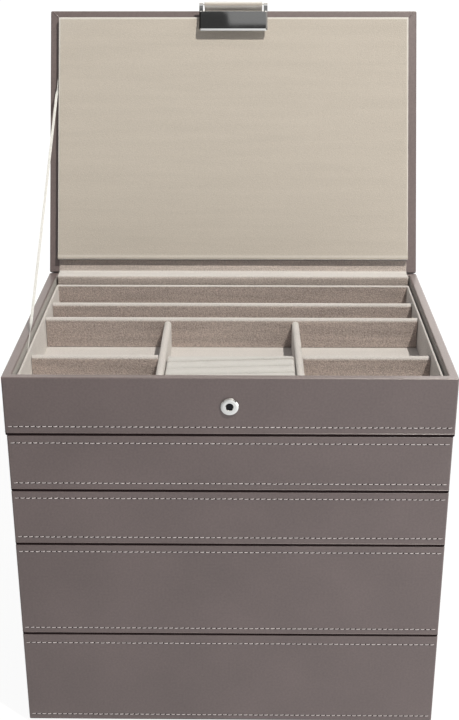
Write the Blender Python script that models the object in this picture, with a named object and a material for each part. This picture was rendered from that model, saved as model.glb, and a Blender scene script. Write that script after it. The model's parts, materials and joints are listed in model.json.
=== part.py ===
"""Tiered jewelry box: five stacked leatherette trays, the top one with a hinged lid.

X runs to the right, Y to the back and Z up, in metres. The origin is the centre of the
footprint, on the surface that the box stands on. The lid stands open on its ribbon stay.
"""

import math

import bmesh
import bpy
from mathutils import Matrix, Vector

# Box and trays
BOX_WIDTH = 0.250
BOX_DEPTH = 0.180
SHALLOW_PITCH = 0.0355
DEEP_PITCH = 0.0625
CASE_WALL = 0.0045
CASE_EDGE_ROUND = 0.0007
CASE_CORNER = 0.0010
LIDDED_OVERHANG = 0.00075
FOOT_RECESS = 0.0018
WRAP_RISE = 0.0011
BOTTOM_SKIRT = 0.0008
INNER_CORNER = 0.0006
FIT_GAP = 0.0003

# Base board, card underlay and velvet liner of every tray
PLINTH_DROP = 0.0035
PLINTH_CLEARANCE = 0.0015
PLINTH_ROUND = 0.0008
BASE_SEAT = 0.0045
UNDERLAY_THICK = 0.0024
LINER_GAP = 0.0010
LINER_WALL = 0.0014
LINER_FLOOR = 0.0020
LINER_DROP = 0.0044
LINER_TOP_ROUND = 0.0007
LINER_CORNER = 0.0016

# Rear of the top tray: card ledge, hinge fabric and the thicker rear liner wall
LEDGE_THICK = 0.0029
LEDGE_ROUND = 0.0022
LEDGE_DROP = 0.0004
REAR_WELL = 0.0038
REAR_LINER_WALL = 0.0025
HINGE_FABRIC = 0.0005
HINGE_FABRIC_FREE = 0.0016
HINGE_FABRIC_BEND = 0.0025
HINGE_FABRIC_TAIL = 0.0060
HINGE_FABRIC_INSET = 0.0005
FLAP_THICK = 0.0006
FLAP_REACH = 0.0085
FLAP_BEND = 0.0015
FLAP_INSET = 0.0012

# Dividers of the top tray
DIVIDER_THICK = 0.0044
NECKLACE_BAY = 0.0244
CHAIN_BAY = 0.0244
MIDDLE_BAY = 0.0522
RING_BAY = 0.0764
NECKLACE_DROP = 0.0071
ROW_DROP = 0.0065
CROSS_DROP = 0.0080
LOW_DROP = 0.0090

# Ring pad
PAD_BASE_THICK = 0.0020
ROLL_PITCH = 0.0098
ROLL_SEAM = 0.0004
ROLL_WEB = 0.0008
ROLL_DROP = 0.0092
ROLL_CROWN = 0.0040
ROLL_END = 0.0020
ROLL_END_SHARES = ((0.0, 0.82), (0.35, 0.94), (1.0, 1.0))

# Dividers of the covered trays
COVERED_DROP = 0.0070
COVERED_ROLL_DROP = 0.0110
TRINKET_ROWS = 2
TRINKET_COLUMNS = 4
BRACELET_BAY = 0.1050
DEEP_MIDDLE_BAY = 0.0900

# Lid
LID_THICK = 0.0100
LID_GAP = 0.0009
LID_OPEN_ANGLE = math.radians(113.1)
LID_PAD_THICK = 0.0049
LID_PAD_SIDE_MARGIN = 0.0058
LID_PAD_FRONT_MARGIN = 0.0054
LID_PAD_HINGE_MARGIN = 0.0086
LID_PAD_ROUND = 0.0009
LID_PAD_CORNER = 0.0012

# Ribbon stay
RIBBON_WIDTH = 0.0018
RIBBON_THICK = 0.0005
RIBBON_BOX_Y = -0.0320
RIBBON_LID_REACH = 0.1326
RIBBON_LID_STAND = 0.0013
RIBBON_TAIL = 0.0070
RIBBON_BOX_FLAT = 0.0150
RIBBON_LID_FLAT = 0.0060
RIBBON_TWIST_RUN = 0.0090

# Strap, pin and plaque
STRAP_EAR_GAP = 0.0009
STRAP_THICK = 0.0012
STRAP_FOLD_RISE = 0.0006
STRAP_FOLD_GAP = 0.0004
STRAP_ANCHOR_HEIGHT = 0.0078
STRAP_LOOP_RADIUS = 0.0018
STRAP_LOOP_BACK = math.radians(20)
STRAP_LOOP_FRONT = math.radians(-210)
STRAP_LOOP_STEPS = 12
STRAP_NECK_STEPS = 3
PIN_RADIUS = 0.0005
PIN_OUT = 0.0021
PIN_DROP = 0.0074
PIN_END = 0.0003
PLAQUE_WIDTH = 0.0464
PLAQUE_HEIGHT = 0.0144
PLAQUE_THICK = 0.0016
PLAQUE_CORNER = 0.0010
PLAQUE_BEVEL = 0.0011
PLAQUE_BEVEL_DEPTH = 0.0007
PLAQUE_CENTRE_DROP = 0.0115
PLAQUE_FORWARD = 0.0002
PLAQUE_LEAN = math.radians(30)
EAR_WIDTH = 0.0026
EAR_RADIUS = 0.00125
EAR_NECK = 0.0013
EAR_ROOT = 0.0006
EAR_STEPS = 10
KEEPER_RADIUS = 0.0033
KEEPER_THICK = 0.0007

# Clasp stud on the front
STUD_DROP = 0.0171
STUD_RADIUS = 0.0052
STUD_DOME = 0.0009
STUD_DOME_RUN = 0.0016
STUD_BORE = 0.00205
STUD_BORE_BEVEL = 0.0003
STUD_SHANK = 0.0028
WASHER_RADIUS = 0.0046
WASHER_THICK = 0.0004
MAGNET_RECESS = 0.0006
MAGNET_LENGTH = 0.0036

# Facets
CORNER_STEPS = 3
EDGE_STEPS = 3
TOP_STEPS = 8
BEND_STEPS = 5
TURN_STEPS = 28
TWIST_STEPS = 6
PIN_STEPS = 14
CUT_OVERRUN = 0.0020
RIGHT_ANGLE = math.pi / 2
SMOOTH_ANGLE = math.radians(40)

# Linear colour, roughness and metallic value of each finish
FINISHES = {
    "leatherette": ((0.160, 0.131, 0.128), 0.55, 0.0),
    "velvet": ((0.600, 0.545, 0.470), 0.95, 0.0),
    "lid_velvet": ((0.560, 0.498, 0.413), 0.95, 0.0),
    "base_cloth": ((0.105, 0.090, 0.085), 0.95, 0.0),
    "card": ((0.420, 0.340, 0.250), 0.90, 0.0),
    "polished_metal": ((0.720, 0.720, 0.710), 0.12, 1.0),
    "magnet": ((0.045, 0.045, 0.050), 0.35, 0.8),
    "ribbon": ((0.640, 0.640, 0.620), 0.60, 0.0),
}

# Faces and widths that several pieces share
STRAP_WIDTH = PLAQUE_WIDTH - 2 * (EAR_WIDTH + STRAP_EAR_GAP)
CASE_X = BOX_WIDTH / 2 - CASE_WALL
CASE_Y = BOX_DEPTH / 2 - CASE_WALL
LINER_X = CASE_X - LINER_GAP
LINER_Y = CASE_Y - LINER_GAP
ROOM_X = LINER_X - LINER_WALL
ROOM_Y = LINER_Y - LINER_WALL
LEDGE_FRONT = CASE_Y - FIT_GAP - LEDGE_THICK
REAR_LINER_Y = LEDGE_FRONT - REAR_WELL
FLOOR_RISE = BASE_SEAT + UNDERLAY_THICK + LINER_FLOOR + 2 * FIT_GAP


class Tray:
    """Levels of one tray, measured up from the surface that the box stands on."""

    def __init__(self, name, foot, pitch):
        self.name = name
        self.foot = foot
        self.rim = foot + pitch
        self.floor = foot + FLOOR_RISE
        self.axis = empty(name + "_lift_axis", (0, 0, foot))


def clear_scene():
    for item in list(bpy.data.objects):
        bpy.data.objects.remove(item, do_unlink=True)


def empty(name, location, parent=None, turn=0.0):
    """Empty on a joint's axis, turned about X against its parent."""
    item = bpy.data.objects.new(name, None)
    item.location = location
    item.rotation_euler = (turn, 0, 0)
    item.parent = parent
    bpy.context.scene.collection.objects.link(item)
    return item


def finish_material(finish):
    """Principled material of a finish, made once."""
    if finish in bpy.data.materials:
        return bpy.data.materials[finish]
    colour, roughness, metallic = FINISHES[finish]
    material = bpy.data.materials.new(finish)
    material.use_nodes = True
    shader = material.node_tree.nodes["Principled BSDF"]
    shader.inputs["Base Color"].default_value = (*colour, 1)
    shader.inputs["Roughness"].default_value = roughness
    shader.inputs["Metallic"].default_value = metallic
    return material


def skin(shape, loops, closed=False):
    """Faces through loops of equally many points: a ring if closed, or else capped."""
    rows = [[shape.verts.new(point) for point in loop] for loop in loops]
    pairs = list(zip(rows, rows[1:]))
    if closed:
        pairs.append((rows[-1], rows[0]))
    for lower, upper in pairs:
        for here in range(len(lower)):
            there = (here + 1) % len(lower)
            shape.faces.new((lower[here], lower[there], upper[there], upper[here]))
    if not closed:
        shape.faces.new(list(reversed(rows[0])))
        shape.faces.new(rows[-1])


def piece(name, shape, finish, parent):
    """Object of a finished shape, whose points are measured from its parent."""
    bmesh.ops.recalc_face_normals(shape, faces=shape.faces)
    mesh = bpy.data.meshes.new(name)
    shape.to_mesh(mesh)
    shape.free()
    mesh.shade_smooth()
    mesh.set_sharp_from_angle(angle=SMOOTH_ANGLE)
    mesh.materials.append(finish_material(finish))
    item = bpy.data.objects.new(name, mesh)
    item.parent = parent
    bpy.context.scene.collection.objects.link(item)
    return item


def solid(name, loops, finish, parent, closed=False):
    shape = bmesh.new()
    skin(shape, loops, closed)
    return piece(name, shape, finish, parent)


def hide_tool(item):
    """Marks an object as a tool of a boolean."""
    item.hide_render = True
    item.display_type = "WIRE"


def combine(item, tool, operation):
    """Boolean of an object with a tool, which is then left out of the model."""
    hide_tool(tool)
    step = item.modifiers.new(operation.lower(), "BOOLEAN")
    step.operation = operation
    step.solver = "EXACT"
    step.object = tool


def moved(loops, matrix):
    return [[matrix @ point for point in loop] for loop in loops]


def rectangle(bounds, inset, corner, height):
    """Rectangle with round corners, set in from its bounds (x0, x1, y0, y1)."""
    x0, x1, y0, y1 = bounds
    radius = max(corner - inset, INNER_CORNER)
    near = inset + radius
    centres = ((x1 - near, y0 + near), (x1 - near, y1 - near), (x0 + near, y1 - near), (x0 + near, y0 + near))
    points = []
    for side, (x, y) in enumerate(centres):
        for step in range(CORNER_STEPS + 1):
            angle = RIGHT_ANGLE * (side - 1 + step / CORNER_STEPS)
            points.append(Vector((x + radius * math.cos(angle), y + radius * math.sin(angle), height)))
    return points


def round_edge(radius, depth=None):
    """(inset, rise) pairs of a rounded edge, from the flat face to the side."""
    depth = radius if depth is None else depth
    angles = [RIGHT_ANGLE * step / EDGE_STEPS for step in range(EDGE_STEPS + 1)]
    return [(radius * (1 - math.sin(angle)), depth * (1 - math.cos(angle))) for angle in angles]


def block_loops(bounds, bottom, top, corner, bottom_round=0.0, top_round=0.0):
    """Block with round corners and, where a radius is given, round bottom and top edges."""
    lower = round_edge(bottom_round) if bottom_round else [(0, 0)]
    upper = round_edge(top_round) if top_round else [(0, 0)]
    loops = [rectangle(bounds, inset, corner, bottom + rise) for inset, rise in lower]
    loops += [rectangle(bounds, inset, corner, top - rise) for inset, rise in reversed(upper)]
    return loops


def centred(half_x, half_y):
    return (-half_x, half_x, -half_y, half_y)


def board_profile(thickness, bottom, top, crown=None):
    """(across, height) points of an upright board with a rounded top."""
    half = thickness / 2
    crown = half if crown is None else crown
    points = [(-half, bottom), (half, bottom)]
    for step in range(TOP_STEPS + 1):
        angle = math.pi * step / TOP_STEPS
        points.append((half * math.cos(angle), top - crown + crown * math.sin(angle)))
    return points


def bar_loops_x(profile, y, x0, x1):
    return [[Vector((x, y + across, height)) for across, height in profile] for x in (x0, x1)]


def bar_loops_y(profile, x, y0, y1):
    return [[Vector((x + across, y, height)) for across, height in profile] for y in (y0, y1)]


def bend(start, corner, end):
    """Points of a smooth bend that leaves start and reaches end towards the corner."""
    points = []
    for step in range(BEND_STEPS + 1):
        share = step / BEND_STEPS
        points.append(start.lerp(corner, share).lerp(corner.lerp(end, share), share))
    return points


def sheet_profile(path, thickness):
    """Outline of a sheet of even thickness along a path of (y, z) points."""
    sides = ([], [])
    for index, point in enumerate(path):
        before = path[max(index - 1, 0)]
        after = path[min(index + 1, len(path) - 1)]
        along = (after - before).normalized()
        across = Vector((-along.y, along.x)) * thickness / 2
        sides[0].append(point + across)
        sides[1].append(point - across)
    return sides[0] + list(reversed(sides[1]))


def ring_loops(outline, centre, bore, x0, x1):
    """Bar along X with an outline of (y, z) points round a bore, whose centre all of them see."""
    hole = [centre + (point - centre).normalized() * bore for point in outline]
    return [[Vector((x, *point)) for point in edge] for edge, x in
            ((outline, x0), (outline, x1), (hole, x1), (hole, x0))]


def turned_loops(profile, steps):
    """Loops round the Y axis through (radius, y) points."""
    loops = []
    for radius, y in profile:
        angles = [2 * math.pi * step / steps for step in range(steps)]
        loops.append([Vector((radius * math.cos(a), y, radius * math.sin(a))) for a in angles])
    return loops


# Trays


def case(tray, front_hole=None, overhang=0.0, skirt=0.0):
    """Four wrapped walls that may stand out at the sides, on a recessed foot or with a skirt below it."""
    foot = tray.foot - tray.axis.location.z
    top = tray.rim - tray.axis.location.z
    outside = centred(BOX_WIDTH / 2 + overhang, BOX_DEPTH / 2)
    inside = centred(CASE_X, CASE_Y)
    edge = round_edge(CASE_EDGE_ROUND)
    if skirt:
        bottom = foot - skirt
        wrap = bottom
        loops = []
    else:
        bottom = foot + FIT_GAP
        wrap = foot + WRAP_RISE
        loops = [rectangle(outside, FOOT_RECESS, INNER_CORNER, height) for height in (bottom, wrap)]
    loops += [rectangle(outside, inset, CASE_CORNER, wrap + rise) for inset, rise in edge]
    loops += [rectangle(outside, inset, CASE_CORNER, top - rise) for inset, rise in reversed(edge)]
    loops += [rectangle(inside, -inset, INNER_CORNER, top - rise) for inset, rise in edge]
    loops += [rectangle(inside, -inset, INNER_CORNER, bottom + rise) for inset, rise in reversed(edge)]
    item = solid(tray.name + "_case", loops, "leatherette", tray.axis, closed=True)
    if front_hole:
        combine(item, front_hole, "DIFFERENCE")


def base(tray):
    """Base board, whose plinth drops into the rim of the tray below."""
    foot = tray.foot - tray.axis.location.z
    plinth = centred(CASE_X - PLINTH_CLEARANCE, CASE_Y - PLINTH_CLEARANCE)
    seat = centred(CASE_X - FIT_GAP, CASE_Y - FIT_GAP)
    step = foot + FIT_GAP
    loops = block_loops(plinth, foot - PLINTH_DROP, step, LINER_CORNER, bottom_round=PLINTH_ROUND)
    loops += block_loops(seat, step, foot + BASE_SEAT, INNER_CORNER)
    solid(tray.name + "_base", loops, "base_cloth", tray.axis)


def underlay(tray, rear_y=LINER_Y):
    bottom = BASE_SEAT + FIT_GAP
    bounds = (-LINER_X, LINER_X, -LINER_Y, rear_y)
    loops = block_loops(bounds, bottom, bottom + UNDERLAY_THICK, LINER_CORNER)
    solid(tray.name + "_underlay", loops, "card", tray.axis)


def liner(tray, rear_y=LINER_Y, rear_wall=LINER_WALL):
    """Velvet covered tray with thin walls and a rounded top edge."""
    bottom = FLOOR_RISE - LINER_FLOOR
    top = tray.rim - tray.foot - LINER_DROP
    sections = [(0.0, bottom)]
    for step in range(TOP_STEPS // 2 + 1):
        angle = math.pi * step / (TOP_STEPS // 2)
        share = (1 - math.cos(angle)) / 2
        sections.append((share, top - LINER_TOP_ROUND + LINER_TOP_ROUND * math.sin(angle)))
    sections.append((1.0, FLOOR_RISE))
    loops = []
    for share, height in sections:
        side = LINER_X - share * LINER_WALL
        bounds = (-side, side, -LINER_Y + share * LINER_WALL, rear_y - share * rear_wall)
        loops.append(rectangle(bounds, 0, LINER_CORNER - share * LINER_WALL, height))
    solid(tray.name + "_liner", loops, "velvet", tray.axis)


def divider_x(tray, name, y, x0, x1, drop):
    """Divider that runs from side to side."""
    profile = board_profile(DIVIDER_THICK, FLOOR_RISE + FIT_GAP, tray.rim - tray.foot - drop)
    solid(name, bar_loops_x(profile, y, x0 + FIT_GAP, x1 - FIT_GAP), "velvet", tray.axis)


def divider_y(tray, name, x, y0, y1, drop):
    """Divider that runs from front to back."""
    profile = board_profile(DIVIDER_THICK, FLOOR_RISE + FIT_GAP, tray.rim - tray.foot - drop)
    solid(name, bar_loops_y(profile, x, y0 + FIT_GAP, y1 - FIT_GAP), "velvet", tray.axis)


def roll_section(count, pitch, y0, bottom, top, scale):
    """Outline of rolls folded out of one sheet, each scaled about its own middle."""
    middle = (bottom + ROLL_WEB + top) / 2
    outline = [(y0 + pitch * count, bottom), (y0, bottom)]
    for index in range(count):
        centre = y0 + pitch * (index + 0.5)
        arch = board_profile(pitch - ROLL_SEAM, bottom + ROLL_WEB, top, ROLL_CROWN)
        arch = arch[:1] + list(reversed(arch[2:])) + arch[1:2]
        for across, height in arch[1:-1]:
            outline.append((centre + across * scale, middle + (height - middle) * scale))
        if index < count - 1:
            outline.append((centre + pitch / 2, bottom + ROLL_WEB))
    return outline


def ring_pad(tray, prefix, drop, x0, x1, y0, y1):
    """Card base under a row of velvet rolls, between which rings are held."""
    bounds = (x0 + FIT_GAP, x1 - FIT_GAP, y0 + FIT_GAP, y1 - FIT_GAP)
    bottom = FLOOR_RISE + FIT_GAP
    loops = block_loops(bounds, bottom, bottom + PAD_BASE_THICK, INNER_CORNER)
    solid(prefix + "_base", loops, "card", tray.axis)
    depth = bounds[3] - bounds[2]
    count = max(1, round(depth / ROLL_PITCH))
    roll_bottom = bottom + PAD_BASE_THICK + FIT_GAP
    roll_top = tray.rim - tray.foot - drop
    ends = [(bounds[0] + share * ROLL_END, scale) for share, scale in ROLL_END_SHARES]
    ends += [(bounds[1] - share * ROLL_END, scale) for share, scale in reversed(ROLL_END_SHARES)]
    loops = []
    for x, scale in ends:
        section = roll_section(count, depth / count, bounds[2], roll_bottom, roll_top, scale)
        loops.append([Vector((x, y, z)) for y, z in section])
    solid(prefix + "_rolls", loops, "velvet", tray.axis)


def plain_tray(tray, skirt=0.0):
    """The pieces that every covered tray has."""
    case(tray, skirt=skirt)
    base(tray)
    underlay(tray)
    liner(tray)


def bottom_tray(tray):
    plain_tray(tray, BOTTOM_SKIRT)
    divider_y(tray, "bottom_tray_divider", 0, -ROOM_Y, ROOM_Y, COVERED_DROP)


def deep_tray(tray):
    plain_tray(tray)
    offset = (DEEP_MIDDLE_BAY + DIVIDER_THICK) / 2
    divider_y(tray, "deep_tray_divider_left", -offset, -ROOM_Y, ROOM_Y, COVERED_DROP)
    divider_y(tray, "deep_tray_divider_right", offset, -ROOM_Y, ROOM_Y, COVERED_DROP)


def lower_tray(tray):
    """Ring pad on the left and two bracelet bays on the right."""
    plain_tray(tray)
    cross = ROOM_X - BRACELET_BAY - DIVIDER_THICK / 2
    divider_y(tray, "lower_tray_cross_divider", cross, -ROOM_Y, ROOM_Y, COVERED_DROP)
    divider_x(tray, "lower_tray_bracelet_divider", 0, cross + DIVIDER_THICK / 2, ROOM_X, COVERED_DROP)
    right = cross - DIVIDER_THICK / 2
    ring_pad(tray, "lower_tray_ring_pad", COVERED_ROLL_DROP, -ROOM_X, right, -ROOM_Y, ROOM_Y)


def upper_tray(tray):
    """Rows of trinket bays, with short dividers between the long ones."""
    plain_tray(tray)
    row_bay = (2 * ROOM_Y - (TRINKET_ROWS - 1) * DIVIDER_THICK) / TRINKET_ROWS
    column_bay = (2 * ROOM_X - (TRINKET_COLUMNS - 1) * DIVIDER_THICK) / TRINKET_COLUMNS
    for row in range(TRINKET_ROWS):
        front = -ROOM_Y + row * (row_bay + DIVIDER_THICK)
        if row:
            y = front - DIVIDER_THICK / 2
            divider_x(tray, f"upper_tray_long_divider_{row}", y, -ROOM_X, ROOM_X, COVERED_DROP)
        for column in range(1, TRINKET_COLUMNS):
            x = -ROOM_X + column * (column_bay + DIVIDER_THICK) - DIVIDER_THICK / 2
            name = f"upper_tray_short_divider_{row + 1}_{column}"
            divider_y(tray, name, x, front, front + row_bay, COVERED_DROP)


# Top tray


def clasp_stud(tray):
    """Domed ring, its magnet and the washer that clamps it to the front wall."""
    centre = (0, -BOX_DEPTH / 2, tray.rim - tray.foot - STUD_DROP)
    inside = CASE_WALL + FIT_GAP + WASHER_THICK
    crown = -FIT_GAP - STUD_DOME
    dome = [(STUD_RADIUS - STUD_DOME_RUN + STUD_DOME_RUN * math.cos(RIGHT_ANGLE * step / EDGE_STEPS),
             -FIT_GAP - STUD_DOME * math.sin(RIGHT_ANGLE * step / EDGE_STEPS))
            for step in range(EDGE_STEPS + 1)]
    profile = dome + [(STUD_BORE + STUD_BORE_BEVEL, crown), (STUD_BORE, crown + STUD_BORE_BEVEL)]
    profile += [(STUD_BORE, inside), (STUD_SHANK, inside), (STUD_SHANK, -FIT_GAP)]
    ring = solid("stud_ring", turned_loops(profile, TURN_STEPS), "polished_metal", tray.axis, closed=True)
    face = crown + MAGNET_RECESS
    disc = [(STUD_BORE - FIT_GAP, face), (STUD_BORE - FIT_GAP, face + MAGNET_LENGTH)]
    magnet = solid("stud_magnet", turned_loops(disc, TURN_STEPS), "magnet", tray.axis)
    hole = STUD_SHANK + FIT_GAP
    near = CASE_WALL + FIT_GAP
    flat = [(WASHER_RADIUS, near), (WASHER_RADIUS, inside), (hole, inside), (hole, near)]
    washer = solid("stud_washer", turned_loops(flat, TURN_STEPS), "polished_metal", tray.axis, closed=True)
    for item in (ring, magnet, washer):
        item.location = centre
    return centre


def stud_drill(tray):
    """Tool for the hole in the front wall."""
    reach = [(STUD_SHANK + FIT_GAP, -CUT_OVERRUN), (STUD_SHANK + FIT_GAP, CASE_WALL + CUT_OVERRUN)]
    drill = solid("stud_drill", turned_loops(reach, TURN_STEPS), "magnet", tray.axis)
    drill.location = clasp_stud(tray)
    return drill


def rear_ledge(tray):
    """Card strip inside the rear wall, rounded where the hinge fabric turns down."""
    bottom = BASE_SEAT + FIT_GAP
    top = tray.rim - tray.foot - LEDGE_DROP
    rear = CASE_Y - FIT_GAP
    profile = [(rear, bottom), (rear, top)]
    for inset, rise in round_edge(LEDGE_ROUND):
        profile.append((LEDGE_FRONT + inset, top - rise))
    profile.append((LEDGE_FRONT, bottom))
    solid("rear_ledge", bar_loops_x(profile, 0, -LINER_X, LINER_X), "velvet", tray.axis)


def top_dividers(tray):
    """Two long dividers, two cross dividers and two low dividers, with the ring pad between."""
    half = DIVIDER_THICK / 2
    room_rear = REAR_LINER_Y - REAR_LINER_WALL
    necklace_y = room_rear - NECKLACE_BAY - half
    row_y = necklace_y - CHAIN_BAY - DIVIDER_THICK
    divider_x(tray, "necklace_divider", necklace_y, -ROOM_X, ROOM_X, NECKLACE_DROP)
    divider_x(tray, "row_divider", row_y, -ROOM_X, ROOM_X, ROW_DROP)
    cross_x = RING_BAY / 2 + half
    low_y = row_y - MIDDLE_BAY - DIVIDER_THICK
    for side, sign in (("left", -1), ("right", 1)):
        divider_y(tray, f"cross_divider_{side}", sign * cross_x, -ROOM_Y, row_y - half, CROSS_DROP)
        ends = sorted((sign * (cross_x + half), sign * ROOM_X))
        divider_x(tray, f"low_divider_{side}", low_y, *ends, LOW_DROP)
    ring_pad(tray, "ring_pad", ROLL_DROP, -RING_BAY / 2, RING_BAY / 2, -ROOM_Y, low_y + half)


def on_lid(y, z):
    """Point of the lid's own frame, which lies shut on the box, turned to the open lid."""
    return Matrix.Rotation(-LID_OPEN_ANGLE, 2) @ Vector((y, z))


def hinge_strip(tray):
    """Velvet that runs from the lid over the rear rim and down in front of the ledge."""
    lid_z = LID_GAP / 2 - FIT_GAP - HINGE_FABRIC / 2
    rim_z = -LID_GAP / 2 + FIT_GAP + HINGE_FABRIC / 2
    front_y = LEDGE_FRONT - FIT_GAP - HINGE_FABRIC / 2 - BOX_DEPTH / 2
    crossing = (lid_z * math.cos(LID_OPEN_ANGLE) - rim_z) / -math.sin(LID_OPEN_ANGLE)
    path = [on_lid(-LID_PAD_HINGE_MARGIN + FIT_GAP, lid_z)]
    path += bend(on_lid(-HINGE_FABRIC_FREE, lid_z), on_lid(-crossing, lid_z),
                 Vector((-HINGE_FABRIC_FREE, rim_z)))
    path += bend(Vector((front_y + HINGE_FABRIC_BEND, rim_z)), Vector((front_y, rim_z)),
                 Vector((front_y, rim_z - HINGE_FABRIC_BEND)))
    path.append(Vector((front_y, rim_z - HINGE_FABRIC_BEND - HINGE_FABRIC_TAIL)))
    half = LINER_X - HINGE_FABRIC_INSET
    strip = solid("hinge_strip", bar_loops_x(sheet_profile(path, HINGE_FABRIC), 0, -half, half),
                  "velvet", tray.axis)
    strip.location = (0, BOX_DEPTH / 2, tray.rim - tray.foot + LID_GAP / 2)


def hinge_flap(tray):
    """Leatherette hinge on the back, folded in towards the box while the lid is open."""
    stand = FIT_GAP + FLAP_THICK / 2
    corner = stand * (1 + math.cos(LID_OPEN_ANGLE - math.pi)) / math.sin(LID_OPEN_ANGLE)
    path = [Vector((stand, -corner - FLAP_BEND - FLAP_REACH))]
    path += bend(Vector((stand, -corner - FLAP_BEND)), Vector((stand, -corner)),
                 on_lid(stand, corner + FLAP_BEND))
    path.append(on_lid(stand, min(corner + FLAP_BEND + FLAP_REACH, LID_THICK - CASE_EDGE_ROUND)))
    half = BOX_WIDTH / 2 + LIDDED_OVERHANG - FLAP_INSET
    flap = solid("hinge_flap", bar_loops_x(sheet_profile(path, FLAP_THICK), 0, -half, half),
                 "leatherette", tray.axis)
    flap.location = (0, BOX_DEPTH / 2, tray.rim - tray.foot + LID_GAP / 2)


def ribbon_stay(tray):
    """Ribbon from the groove beside the liner to the lid, flat to the wall at both its ends."""
    hinge = Vector((BOX_DEPTH / 2, tray.rim - tray.foot + LID_GAP / 2))
    low = Vector((RIBBON_BOX_Y, tray.rim - tray.foot - LINER_DROP))
    high = hinge + on_lid(-RIBBON_LID_REACH, LID_GAP / 2 - RIBBON_LID_STAND)
    along = (high - low).normalized()
    start = low - along * RIBBON_TAIL
    length = (high - start).length
    side_in_plane = Vector((0, -along.y, along.x))
    sideways = Vector((1, 0, 0))
    turns = [(step / TWIST_STEPS, RIBBON_TWIST_RUN * step / TWIST_STEPS) for step in range(TWIST_STEPS + 1)]
    stations = [(0, 0)] + [(turn, RIBBON_BOX_FLAT + run) for turn, run in turns]
    stations += [(turn, length - RIBBON_LID_FLAT - run) for turn, run in reversed(turns)] + [(0, length)]
    loops = []
    for turn, run in stations:
        twist = RIGHT_ANGLE * turn * turn * (3 - 2 * turn)
        wide = (side_in_plane * math.cos(twist) + sideways * math.sin(twist)) * RIBBON_WIDTH / 2
        thin = (sideways * math.cos(twist) - side_in_plane * math.sin(twist)) * RIBBON_THICK / 2
        centre = start + along * run
        place = Vector((-(LINER_X + LINER_GAP / 2), centre.x, centre.y))
        loops.append([place + wide + thin, place - wide + thin, place - wide - thin, place + wide - thin])
    shape = bmesh.new()
    skin(shape, loops)
    bmesh.ops.triangulate(shape, faces=shape.faces)
    piece("ribbon_stay", shape, "ribbon", tray.axis)


def top_tray(tray):
    case(tray, front_hole=stud_drill(tray), overhang=LIDDED_OVERHANG)
    base(tray)
    underlay(tray, REAR_LINER_Y)
    liner(tray, REAR_LINER_Y, REAR_LINER_WALL)
    rear_ledge(tray)
    top_dividers(tray)
    hinge_strip(tray)
    hinge_flap(tray)
    ribbon_stay(tray)


# Lid, strap and plaque. The lid's frame lies shut on the box, with its origin on the hinge axis


def lid(hinge):
    """Wrapped board and its padded velvet panel."""
    underside = LID_GAP / 2
    half = BOX_WIDTH / 2 + LIDDED_OVERHANG
    bounds = (-half, half, -BOX_DEPTH, 0)
    loops = block_loops(bounds, underside, underside + LID_THICK, CASE_CORNER, CASE_EDGE_ROUND, CASE_EDGE_ROUND)
    solid("lid_board", loops, "leatherette", hinge)
    half = BOX_WIDTH / 2 - LID_PAD_SIDE_MARGIN
    bounds = (-half, half, -BOX_DEPTH + LID_PAD_FRONT_MARGIN, -LID_PAD_HINGE_MARGIN)
    loops = block_loops(bounds, underside - LID_PAD_THICK, underside - FIT_GAP, LID_PAD_CORNER, LID_PAD_ROUND)
    solid("lid_pad", loops, "lid_velvet", hinge)


def strap(hinge):
    """Anchor stitched to the lid's front edge, and the strap that folds about its outer face."""
    face = -BOX_DEPTH - FIT_GAP
    fold = Vector((face - STRAP_THICK, LID_GAP / 2 + STRAP_FOLD_RISE))
    half = STRAP_WIDTH / 2
    bounds = (-half, half, face - STRAP_THICK, face)
    bottom = fold.y + STRAP_FOLD_GAP
    loops = block_loops(bounds, bottom, bottom + STRAP_ANCHOR_HEIGHT, INNER_CORNER)
    solid("strap_anchor", loops, "velvet", hinge)
    axis = empty("strap_fold_axis", (0, *fold), hinge)
    loop_centre = Vector((-BOX_DEPTH - PIN_OUT, -PIN_DROP)) - fold
    arc = []
    for step in range(STRAP_LOOP_STEPS + 1):
        angle = STRAP_LOOP_BACK + (STRAP_LOOP_FRONT - STRAP_LOOP_BACK) * step / STRAP_LOOP_STEPS
        arc.append(loop_centre + Vector((math.cos(angle), math.sin(angle))) * STRAP_LOOP_RADIUS)
    neck_front = Vector((0, -STRAP_FOLD_GAP))
    neck_back = Vector((STRAP_THICK, -STRAP_FOLD_GAP))
    shares = [step / STRAP_NECK_STEPS for step in range(1, STRAP_NECK_STEPS + 1)]
    outline = arc + [arc[-1].lerp(neck_front, share) for share in shares]
    outline += [neck_back.lerp(arc[0], share - shares[0]) for share in shares]
    loops = ring_loops(outline, loop_centre, PIN_RADIUS + FIT_GAP, -half, half)
    solid("closure_strap", loops, "velvet", axis, closed=True)
    return axis, loop_centre


def ear_loops(x0, x1, plate_top):
    """Eyelet round the pin with a neck that runs down into the plate."""
    spread = math.asin(EAR_NECK / 2 / EAR_RADIUS)
    outline = []
    for step in range(EAR_STEPS + 1):
        angle = -RIGHT_ANGLE + spread + (2 * math.pi - 2 * spread) * step / EAR_STEPS
        outline.append(Vector((math.cos(angle), math.sin(angle))) * EAR_RADIUS)
    bottom = plate_top - EAR_ROOT
    outline.append(Vector((-EAR_NECK / 2, bottom)))
    outline.append(Vector((EAR_NECK / 2, bottom)))
    return ring_loops(outline, Vector((0, 0)), PIN_RADIUS + FIT_GAP, x0, x1)


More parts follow.
